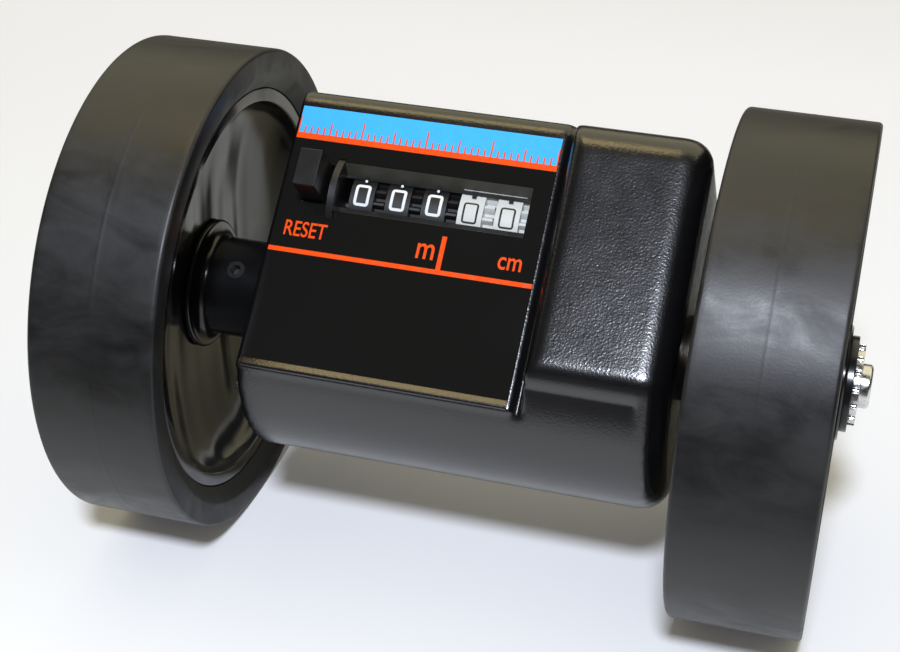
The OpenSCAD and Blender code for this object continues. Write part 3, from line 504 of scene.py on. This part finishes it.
def dish(rim_x, hub_x, rim_r, inward):
    """A squared quarter ellipse between the rim and the flat middle, in even turns of its tangent."""
    hub_r = DISC_FLAT_D / 2
    points = []
    for i in range(DISH_STEPS + 1):
        a = math.pi / 2 * i / DISH_STEPS
        across = math.cos(a) ** DISH_POWER if i < DISH_STEPS else 0
        points.append((hub_r + (rim_r - hub_r) * across, rim_x + (hub_x - rim_x) * math.sin(a) ** DISH_POWER))
    return points if inward else points[::-1]


def make_disc(side, node):
    """A wheel disc that is dished on both sides, with a hub on its outer side."""
    low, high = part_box(node.replace("wheel_disc", "tyre"))
    inner, outer = sorted(abs(x) / MM for x in (low.x, high.x))
    rim_r = (high.z - low.z) / 2 / MM - TYRE_FACE_W - TYRE_CHAMFER_W
    dish_r = rim_r - DISC_RIM_T
    floor = inner + DISH_DEPTH
    web = floor + DISC_WEB_T
    rim_in = inner + TYRE_CHAMFER_DEPTH
    rim_out = outer - TYRE_CHAMFER_DEPTH
    lip = DISC_LIP_R
    hub_r = HUB_D / 2
    hub_x = outer + HUB_PROUD
    profile = [(AXLE_BORE_D / 2, floor)] + dish(rim_in, floor, dish_r, inward=False)[:-1]
    profile += arc((dish_r + lip, rim_in + lip), lip, 180, 270)
    profile += arc((rim_r - lip, rim_in + lip), lip, -90, 0)
    profile += arc((rim_r - lip, rim_out - lip), lip, 0, 90)
    profile += arc((dish_r + lip, rim_out - lip), lip, 90, 180)
    profile += dish(rim_out, web, dish_r, inward=True)[1:]
    profile += [(hub_r, web), (hub_r, hub_x - HUB_CHAMFER), (hub_r - HUB_CHAMFER, hub_x)]
    profile += [(AXLE_BORE_D / 2, hub_x)]
    turned(node, profile, side)


for side, name in ((-1, "left"), (1, "right")):
    make_tyre(side, name + "_tyre")
    make_disc(side, name + "_wheel_disc")

# Casting, plate, key and hardware with rounded edges
SOFT_EDGES = {
    "left_end_cover": 0.3,
    "face_plate": 0.1,
    "counter_frame": 0.15,
    "reset_key": 0.45,
    "left_collar": 0.25,
    "right_collar": 0.25,
    "left_hub_washer": 0.2,
    "right_hub_washer": 0.2,
    "left_lock_washer": 0.12,
    "right_lock_washer": 0.12,
    "left_axle_bolt": 0.15,
    "right_axle_bolt": 0.15,
    "end_cover_screws": 0.15,
}
soft = {node: softened(node, width) for node, width in SOFT_EDGES.items()}


def paint_bezel_light(made):
    """Painted light: a lighter olive grey on the window's sloping upper wall, for the bright floor that it
    reflects, and a lighter blue-grey painted highlight on the rib beside the window.
    """
    for material in (BEZEL_PAINTED_LIGHT, RIB_PAINTED_HIGHLIGHT, BLACK_PLASTIC):
        made.data.materials.append(material)
    for polygon in made.data.polygons:
        place = label_place(polygon.center)
        wall = polygon.normal.dot(UP) < -0.8
        rib_side = place.x < RIB_RIGHT and polygon.normal.dot(ALONG) > 0.7
        if place.z > LABEL_N - BEZEL_DEPTH and (wall or rib_side):
            polygon.material_index = 1 if wall else 2
        elif place.z > LABEL_N + PRINT_T:
            polygon.material_index = 3


paint_bezel_light(soft["counter_frame"])


def blend_casting(node, voxel=0.5, rounds=18):
    """Soft blends between a casting's faces, as sand and paint leave them."""
    remesh = nodes[node].modifiers.new("even_mesh", "REMESH")
    remesh.mode = "VOXEL"
    remesh.voxel_size = voxel * MM
    remesh.use_smooth_shade = True
    smooth = nodes[node].modifiers.new("soft_edges", "SMOOTH")
    smooth.factor = 0.5
    smooth.iterations = rounds


blend_casting("housing")


def make_sill():
    """The casting's raised border under the plate, which slopes up from the plate's lower edge."""
    edge = PLATE_LOW.y
    crest = LABEL_N + SILL_H
    foot = LABEL_N - SILL_FOOT
    outline = [(edge, foot), (edge, LABEL_N - SILL_START)]
    outline += arc((edge - SILL_W + SILL_ROUND, crest - SILL_ROUND), SILL_ROUND, *SILL_ARC_DEG)
    outline += [(edge - SILL_W, foot)]
    mesh = bmesh.new()
    ends = []
    for x in (PLATE_LOW.x, PLATE_HIGH.x):
        ends.append([mesh.verts.new(label_point(x, u, n)) for u, n in outline])
        mesh.faces.new(ends[-1])
    for i in range(len(outline)):
        k = (i + 1) % len(outline)
        mesh.faces.new((ends[0][i], ends[0][k], ends[1][k], ends[1][i]))
    bmesh.ops.recalc_face_normals(mesh, faces=mesh.faces)
    piece("casting_sill", mesh, WRINKLE, "body")


make_sill()


# Label print


def make_ruler():
    """Graduation marks that stand on the red strip."""
    count = int((PLATE_HIGH.x - PLATE_LOW.x) / RULER_PITCH)
    start = PLATE_LOW.x + (PLATE_HIGH.x - PLATE_LOW.x - count * RULER_PITCH) / 2
    for i in range(count + 1):
        height = next(h for step, h in RULER_TICKS.items() if i % step == 0)
        middle = start + i * RULER_PITCH
        left = max(middle - RULER_TICK_W / 2, PLATE_LOW.x)
        right = min(middle + RULER_TICK_W / 2, PLATE_HIGH.x)
        outline = rectangle((left, right), (BLUE_STRIP_FROM, BLUE_STRIP_FROM + height))
        plate(f"ruler_tick_{i:02d}", outline, LABEL_N + PRINT_T, PRINT_T / 2, RED_INK)


def make_word(name, text, x_span, u_span):
    """Plain lettering, fitted to the span that it takes on the label."""
    curve = bpy.data.curves.new(name, "FONT")
    curve.body = text
    curve.extrude = 0.5
    curve.offset = WORD_WEIGHT
    made = bpy.data.objects.new(name, curve)
    bpy.context.scene.collection.objects.link(made)
    bpy.context.view_layer.update()
    corners = [Vector(corner) for corner in made.bound_box]
    low = Vector([min(c[i] for c in corners) for i in range(3)])
    high = Vector([max(c[i] for c in corners) for i in range(3)])
    scale = [(x_span[1] - x_span[0]) / (high.x - low.x), (u_span[1] - u_span[0]) / (high.y - low.y), PRINT_T]
    axes = Matrix((ALONG, UP, OUT)).transposed().to_4x4()
    fit = Matrix.Diagonal((*[s * MM for s in scale], 1)) @ Matrix.Translation((-low.x, -low.y, -low.z))
    made.matrix_world = Matrix.Translation(label_point(x_span[0], u_span[0], LABEL_N)) @ axes @ fit
    curve.materials.append(RED_INK)
    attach(made, "body")


full_width = (PLATE_LOW.x, PLATE_HIGH.x)
plate("blue_strip", rectangle(full_width, (BLUE_STRIP_FROM, PLATE_HIGH.y)), LABEL_N, PRINT_T, BLUE_INK)
plate("red_strip", rectangle(full_width, RED_STRIP_U), LABEL_N, PRINT_T, RED_INK)
plate("red_line", rectangle(full_width, LINE_U), LABEL_N, PRINT_T, RED_INK)
plate("metre_mark", rectangle(LINE_TICK_X, (LINE_U[1], LINE_TICK_TOP)), LABEL_N, PRINT_T, RED_INK)
make_ruler()
for name, (text, x_span, u_span) in WORDS.items():
    make_word(name, text, x_span, u_span)


# Number wheels


def digit_paths(width, height):
    """Corner points of each figure's strokes, with True for a closed stroke."""
    w = width / 2
    h = height / 2
    ring = [(-w, -h), (w, -h), (w, h), (-w, h)]
    return [
        [(ring, True)],
        [([(-0.5 * w, 0.55 * h), (0.15 * w, h), (0.15 * w, -h)], False)],
        [([(-w, 0.5 * h), (-w, h), (w, h), (w, 0), (-w, -0.5 * h), (-w, -h), (w, -h)], False)],
        [([(-w, 0.5 * h), (-w, h), (w, h), (w, 0.05 * h), (-0.2 * w, 0.05 * h)], False),
         ([(-0.2 * w, 0.05 * h), (w, 0.05 * h), (w, -h), (-w, -h), (-w, -0.5 * h)], False)],
        [([(0.45 * w, -h), (0.45 * w, h), (-w, -0.4 * h), (w, -0.4 * h)], False)],
        [([(w, h), (-w, h), (-w, 0.15 * h), (w, 0.15 * h), (w, -h), (-w, -h), (-w, -0.5 * h)], False)],
        [([(w, 0.5 * h), (w, h), (-w, h), (-w, -h), (w, -h), (w, 0.1 * h), (-w, 0.1 * h)], False)],
        [([(-w, h), (w, h), (w, 0.5 * h), (-0.2 * w, -h)], False)],
        [(ring, True), ([(-w, 0), (w, 0)], False)],
        [([(-w, -0.5 * h), (-w, -h), (w, -h), (w, h), (-w, h), (-w, -0.1 * h), (w, -0.1 * h)], False)],
    ]


def rounded_path(corners, closed, radius, steps=4):
    """A stroke's middle line with its corners rounded."""
    corners = [Vector(corner) for corner in corners]
    count = len(corners)
    points = []
    for i, corner in enumerate(corners):
        if not closed and i in (0, count - 1):
            points.append(corner)
            continue
        before = corners[i - 1] - corner
        after = corners[(i + 1) % count] - corner
        reach = min(radius, before.length / 2, after.length / 2)
        start = corner + before.normalized() * reach
        end = corner + after.normalized() * reach
        for k in range(steps + 1):
            t = k / steps
            points.append(start * (1 - t) ** 2 + corner * 2 * t * (1 - t) + end * t ** 2)
    return short_steps(points, closed)


def short_steps(points, closed, longest=0.5):
    """The same line in steps short enough to follow the rim's curve."""
    following = points[1:] + (points[:1] if closed else [])
    line = []
    for point, after in zip(points, following):
        steps = max(1, math.ceil((after - point).length / longest))
        line += [point.lerp(after, i / steps) for i in range(steps)]
    return line if closed else line + points[-1:]


def stroke_sides(points, closed, width):
    """Left and right edges of a stroke of the given width."""
    count = len(points)
    left, right = [], []
    for i, point in enumerate(points):
        before = points[i - 1] if closed or i > 0 else point
        after = points[(i + 1) % count] if closed or i < count - 1 else point
        way = (after - before).normalized()
        across = Vector((-way.y, way.x)) * width / 2
        left.append(point + across)
        right.append(point - across)
    return left, right


def rim_point(x, along, radius):
    """A point on a number wheel's rim, x from the frame and a length round the rim from its front."""
    angle = along / radius
    return NUMBER_AXIS + (ALONG * x + (UP * math.sin(angle) + OUT * math.cos(angle)) * radius) * MM


def add_stroke(mesh, points, closed, width, x, along, radius):
    """A raised stroke on the rim, as a closed band with walls."""
    left, right = stroke_sides(points, closed, width)
    rows = []
    for side, lift in ((left, -DIGIT_LIFT), (left, DIGIT_LIFT), (right, DIGIT_LIFT), (right, -DIGIT_LIFT)):
        rows.append([mesh.verts.new(rim_point(x + p.x, along + p.y, radius + lift)) for p in side])
    count = len(points)
    for i in range(count if closed else count - 1):
        k = (i + 1) % count
        for row, following in zip(rows, rows[1:] + rows[:1]):
            mesh.faces.new((row[i], row[k], following[k], following[i]))
    if not closed:
        mesh.faces.new([row[0] for row in rows])
        mesh.faces.new([row[-1] for row in rows])


def make_figures(body, width, height, stroke, drop, figure_ink):
    """The ten figures of a number wheel."""
    node = body + "_wheel"
    low, high = label_box(node)
    radius = (high.y - low.y) / 2
    middle = low.x + RIM_W / 2
    step = radius * math.radians(DIGIT_STEP_DEG)
    mesh = bmesh.new()
    for figure, strokes in enumerate(digit_paths(width, height)):
        along = step * figure - drop
        for corners, closed in strokes:
            points = rounded_path(corners, closed, DIGIT_ROUND)
            add_stroke(mesh, points, closed, stroke, middle, along, radius)
    bmesh.ops.recalc_face_normals(mesh, faces=mesh.faces)
    piece(body + "_figures", mesh, figure_ink, body)


for body in BLACK_WHEELS:
    make_figures(body, *BLACK_WHEEL_FIGURES, WHITE_INK)
for body in WHITE_WHEELS:
    make_figures(body, *WHITE_WHEEL_FIGURES, GREY_INK)


def make_index_glint(body):
    """A painted highlight: a white dot on the index tab over a black number wheel, for the glint of the lit tab.
    """
    middle = label_box(body + "_wheel")[0].x + RIM_W / 2 + INDEX_SHIFT
    corners = [math.tau * i / INDEX_GLINT_SIDES for i in range(INDEX_GLINT_SIDES)]
    outline = [(middle + INDEX_GLINT_R * math.cos(a), INDEX_U + INDEX_GLINT_R * math.sin(a)) for a in corners]
    plate(body + "_index_glint", outline, INDEX_N, PRINT_T, WHITE_INK)


for body in BLACK_WHEELS:
    make_index_glint(body)
# Painted highlight: a white strip along the window's edge above the white wheels, for the edge's reflection of
# them
highlight_heights = [HIGHLIGHT_LINE_N[0], HIGHLIGHT_LINE_N[0], HIGHLIGHT_LINE_N[1], HIGHLIGHT_LINE_N[1]]
plate("white_wheels_painted_highlight", rectangle(HIGHLIGHT_LINE_X, HIGHLIGHT_LINE_U), highlight_heights, PRINT_T, WHITE_INK)


# Stage, light and camera

FLOOR_HALF = 3000
FLOOR_PAPER = (0.86, 0.87, 0.88)
FLOOR_DARK = (0.05, 0.05, 0.05)
FLOOR_GLOW = (0.66, 0.66, 0.8, 1)
FLOOR_LIFT = (0.045, 0.3)
FLOOR_LIFT_Y = (-40, 320)
FLOOR_DARK_Y = (-150, -80)
ROOM_ABOVE = (0.54, 0.49, 0.335, 1)
ROOM_ASIDE = (0.08, 0.075, 0.055, 1)
ROOM_ABOVE_FROM = (0.0, 0.8)
ROOM_BACK = (1.2, 1.1, 0.75, 1)
ROOM_DARK = (0.05, 0.05, 0.055, 1)
ROOM_BACK_FROM = (-0.1, 0.2)
ROOM_HIGH_FROM = (0.25, 0.5)
CEILING_LAMP = (4.2, 3.3, 1.7, 1)
CEILING_LAMP_WAY = Vector((-0.23, 0.06, 0.97)).normalized()
CEILING_LAMP_DEG = (7, 13)
FLASH_WAY = Vector((0.1, -0.66, 0.745)).normalized()
FLASH_REACH = 1000
FLASH_SIZE = 130
FLASH_POWER = 11.4
FLASH_COLOUR = (0.82, 0.87, 1.0)


def make_floor():
    """A pale sheet that keeps the shadow, evenly bright to the camera.

    In reflections its colour is painted dark before the object, a painted reflection of a dark room in front of
    the sheet.
    """
    data = bpy.data.meshes.new("floor")
    corners = [(-1, -1), (1, -1), (1, 1), (-1, 1)]
    data.from_pydata([(x * FLOOR_HALF * MM, y * FLOOR_HALF * MM, 0) for x, y in corners], [], [(0, 1, 2, 3)])
    floor = bpy.data.objects.new("floor", data)
    bpy.context.scene.collection.objects.link(floor)
    finish = Finish("floor_paper", FLOOR_PAPER, 0.7, sockets={"Emission Color": FLOOR_GLOW})
    path = finish.add("LightPath")
    back = finish.add("SeparateXYZ", vector=finish.place).outputs["Y"]
    mirrored = path.outputs["Is Glossy Ray"]
    before = finish.spread(back, FLOOR_DARK_Y[0] * MM, FLOOR_DARK_Y[1] * MM, 1, 0)
    finish.tint(finish.product(before, mirrored), FLOOR_PAPER, FLOOR_DARK)
    lift = finish.spread(back, FLOOR_LIFT_Y[0] * MM, FLOOR_LIFT_Y[1] * MM, *FLOOR_LIFT)
    finish.link(finish.product(lift, path.outputs["Is Camera Ray"]), "Emission Strength")
    data.materials.append(finish.material)


def make_world():
    """A softly lit room with a lamp overhead.

    Its reflection is warm high behind the object and dark elsewhere.
    """
    world = bpy.data.worlds.new("room")
    bpy.context.scene.world = world
    world.use_nodes = True
    world.cycles.sampling_method = "NONE"
    tree = world.node_tree
    way = tree.nodes.new("ShaderNodeTexCoord").outputs["Generated"]

    def share(value, low, high):
        node = tree.nodes.new("ShaderNodeMapRange")
        node.interpolation_type = "SMOOTHSTEP"
        node.inputs["From Min"].default_value = low
        node.inputs["From Max"].default_value = high
        tree.links.new(value, node.inputs["Value"])
        return node.outputs["Result"]

    def blend(factor, first, second):
        node = tree.nodes.new("ShaderNodeMix")
        node.data_type = "RGBA"
        tree.links.new(factor, node.inputs["Factor"])
        for socket, colour in ((node.inputs[6], first), (node.inputs[7], second)):
            if isinstance(colour, bpy.types.NodeSocket):
                tree.links.new(colour, socket)
            else:
                socket.default_value = colour
        return node.outputs[2]

    parts = tree.nodes.new("ShaderNodeSeparateXYZ")
    tree.links.new(way, parts.inputs["Vector"])
    toward = tree.nodes.new("ShaderNodeVectorMath")
    toward.operation = "DOT_PRODUCT"
    toward.inputs[1].default_value = CEILING_LAMP_WAY
    tree.links.new(way, toward.inputs[0])
    inner, outer = [math.cos(math.radians(angle)) for angle in CEILING_LAMP_DEG]
    high = blend(share(parts.outputs["Z"], *ROOM_HIGH_FROM), ROOM_DARK, ROOM_BACK)
    room = blend(share(parts.outputs["Y"], *ROOM_BACK_FROM), ROOM_DARK, high)
    room = blend(share(toward.outputs["Value"], outer, inner), room, CEILING_LAMP)
    mirrored = tree.nodes.new("ShaderNodeLightPath").outputs["Is Glossy Ray"]
    around = blend(share(parts.outputs["Z"], *ROOM_ABOVE_FROM), ROOM_ASIDE, ROOM_ABOVE)
    tree.links.new(blend(mirrored, around, room), tree.nodes["Background"].inputs["Color"])


def make_lamp(name, place, aim, size, power, colour):
    lamp = bpy.data.lights.new(name, "AREA")
    lamp.shape = "DISK"
    lamp.size = size * MM
    lamp.energy = power
    lamp.color = colour
    made = bpy.data.objects.new(name, lamp)
    made.location = place * MM
    made.rotation_mode = "QUATERNION"
    made.rotation_quaternion = (aim - place).to_track_quat("-Z", "Y")
    bpy.context.scene.collection.objects.link(made)


def make_camera():
    data = bpy.data.cameras.new("photo_camera")
    data.lens = LENS
    data.sensor_width = SENSOR
    data.clip_start = 0.01
    made = bpy.data.objects.new("photo_camera", data)
    made.location = CAMERA_AT * MM
    made.rotation_mode = "QUATERNION"
    level = (CAMERA_AIM - CAMERA_AT).to_track_quat("-Z", "Y")
    made.rotation_quaternion = level @ Quaternion((0, 0, 1), math.radians(CAMERA_ROLL_DEG))
    bpy.context.scene.collection.objects.link(made)
    bpy.context.scene.camera = made


make_floor()
make_world()
make_lamp("flash", AXLE / MM + FLASH_WAY * FLASH_REACH, AXLE / MM, FLASH_SIZE, FLASH_POWER, FLASH_COLOUR)
make_camera()
bpy.context.scene.view_settings.view_transform = "Standard"
